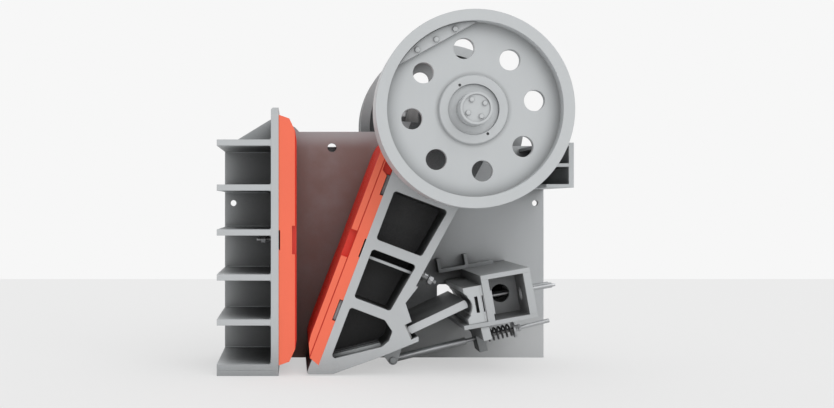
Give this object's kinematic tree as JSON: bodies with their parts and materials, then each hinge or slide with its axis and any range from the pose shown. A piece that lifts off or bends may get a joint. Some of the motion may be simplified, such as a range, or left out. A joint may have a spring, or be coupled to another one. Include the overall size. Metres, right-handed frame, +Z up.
{
  "type": "cutaway jaw crusher",
  "caption": "Single-toggle jaw crusher shown as a cutaway: fixed and swinging toothed jaws, eccentric shaft with flywheels, toggle plate and beam, one side plate left off.",
  "frame": {"origin": "centre of the bounding box on the floor", "axes": "+X from the feed wall to the toggle end, +Y to the far side plate, +Z up"},
  "size_m": [2.4994, 1.916, 2.4859],
  "materials": {
    "frame_paint": "satin grey paint on welded plate",
    "toggle_paint": "satin grey paint",
    "swing_jaw_paint": "satin grey paint on a casting",
    "wheel_paint": "satin grey paint on a casting",
    "jaw_plate_orange": "orange paint on cast manganese steel",
    "machined_steel": "machined",
    "spring_steel": "drawn wire"
  },
  "bodies": {
    "frame": {"far_side_plate": "frame_paint", "far_foot": "frame_paint", "far_rib_top": "frame_paint", "far_rib_mid": "frame_paint", "far_ribs_upright": "frame_paint", "front_wall": "frame_paint", "front_sole_plate": "frame_paint", "front_rib_1": "frame_paint", "front_rib_2": "frame_paint", "front_rib_3": "frame_paint", "front_rib_4": "frame_paint", "front_rib_5": "frame_paint", "front_rib_6": "frame_paint", "toggle_beam_top": "frame_paint", "toggle_beam_bottom": "frame_paint", "toggle_beam_front_wall": "frame_paint", "toggle_beam_rear_wall": "frame_paint", "toggle_beam_diaphragms": "frame_paint", "toggle_guide": "frame_paint", "spring_bracket": "frame_paint", "rear_beam_wall": "frame_paint", "rear_beam_shelves": "frame_paint", "far_bearing_housing": "frame_paint", "far_bearing_cap": "frame_paint", "toggle_block": "toggle_paint", "toggle_shims": "toggle_paint", "block_rods": "machined_steel", "tension_rod": "machined_steel", "spring_washers": "machined_steel", "tension_spring": "spring_steel", "fixed_jaw_plate": "jaw_plate_orange"},
    "shaft": {"near_flywheel": "wheel_paint", "far_flywheel": "wheel_paint", "counterweights": "wheel_paint", "eccentric_shaft": "machined_steel", "hub_rings": "machined_steel", "shaft_caps": "machined_steel"},
    "pitman": {"swing_jaw": "swing_jaw_paint", "tension_lug": "swing_jaw_paint", "pitman_seals": "swing_jaw_paint", "moving_jaw_plate": "jaw_plate_orange", "toggle_seat": "machined_steel", "moving_jaw_wedge": "machined_steel", "toggle_plate": "toggle_paint"}
  },
  "joints": [
    {"name": "shaft_spin", "type": "hinge", "parent": "frame", "child": "shaft", "pos_m": [0.48174, 0, 1.83085], "axis": [0, 1, 0], "continuous": true},
    {"name": "pitman_swing", "type": "hinge", "parent": "shaft", "child": "pitman", "pos_m": [0.48279, 0, 1.8189], "axis": [0, 1, 0], "continuous": true}
  ],
  "couplings": [
    {"joint": "pitman_swing", "follows": "shaft_spin", "ratio": -1}
  ]
}
